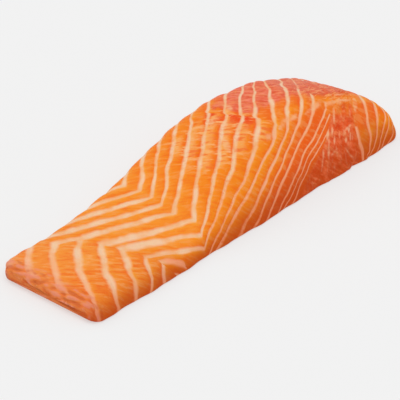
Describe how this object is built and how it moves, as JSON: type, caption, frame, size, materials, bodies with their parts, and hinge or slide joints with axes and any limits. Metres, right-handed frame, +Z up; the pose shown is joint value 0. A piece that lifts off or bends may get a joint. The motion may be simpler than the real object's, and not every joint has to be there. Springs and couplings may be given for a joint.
{
  "type": "salmon fillet",
  "caption": "Raw skinless salmon fillet portion, thin at the belly end and thick at the back, with pale lines of fat folding across orange flesh.",
  "frame": {"origin": "middle of the fillet's footprint box, on the surface it lies on", "axes": "+X from the thin belly end to the thick back end, +Y from the leaning cut face to the upright cut face, +Z up"},
  "size_m": [0.1918, 0.0582, 0.0283],
  "materials": {
    "salmon_flesh": "moist raw fish flesh, satin to wet gloss"
  },
  "bodies": {
    "root": {"salmon_fillet": "salmon_flesh"}
  },
  "joints": []
}
